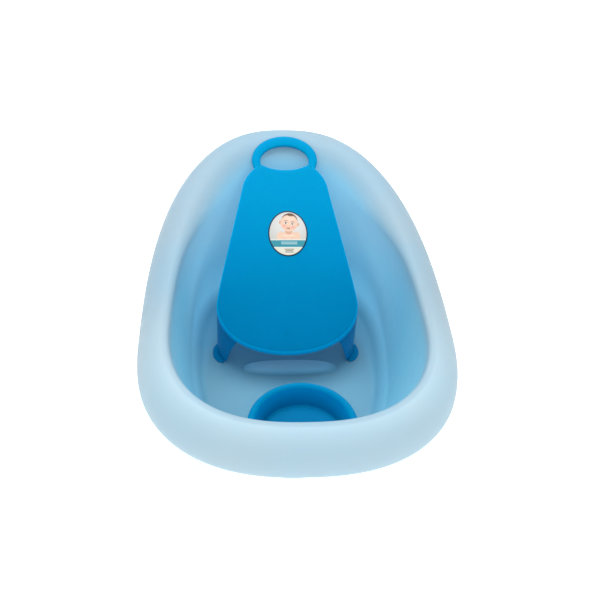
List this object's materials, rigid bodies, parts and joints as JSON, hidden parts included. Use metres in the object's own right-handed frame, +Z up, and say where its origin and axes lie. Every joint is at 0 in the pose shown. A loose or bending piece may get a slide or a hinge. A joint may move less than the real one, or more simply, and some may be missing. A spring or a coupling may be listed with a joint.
{
  "type": "baby bathtub",
  "caption": "Moulded baby bathtub with a sloped head end, a lift-out bath slide with a ring handle, and a loose round wash bowl.",
  "frame": {"origin": "on the floor, under the middle of the tub's length and width", "axes": "+Y towards the head end, where the slide's ring handle rests on the rim; +Z up; +X across the tub"},
  "size_m": [0.5, 0.81, 0.2927],
  "materials": {
    "frosted_plastic": "frosted, slightly translucent light blue",
    "bright_plastic": "satin gloss, bright blue",
    "label_film": "printed sticker with a soft sheen"
  },
  "bodies": {
    "tub": {"tub_shell": "frosted_plastic"},
    "slide": {"bath_slide": "bright_plastic", "product_label": "label_film"},
    "bowl": {"wash_bowl": "bright_plastic"}
  },
  "joints": [
    {"name": "slide_lift", "type": "slide", "parent": "tub", "child": "slide", "axis": [0, 0, 1], "range_m": [0, 0.32]},
    {"name": "bowl_lift", "type": "slide", "parent": "tub", "child": "bowl", "axis": [0, 0, 1], "range_m": [0, 0.32]}
  ]
}
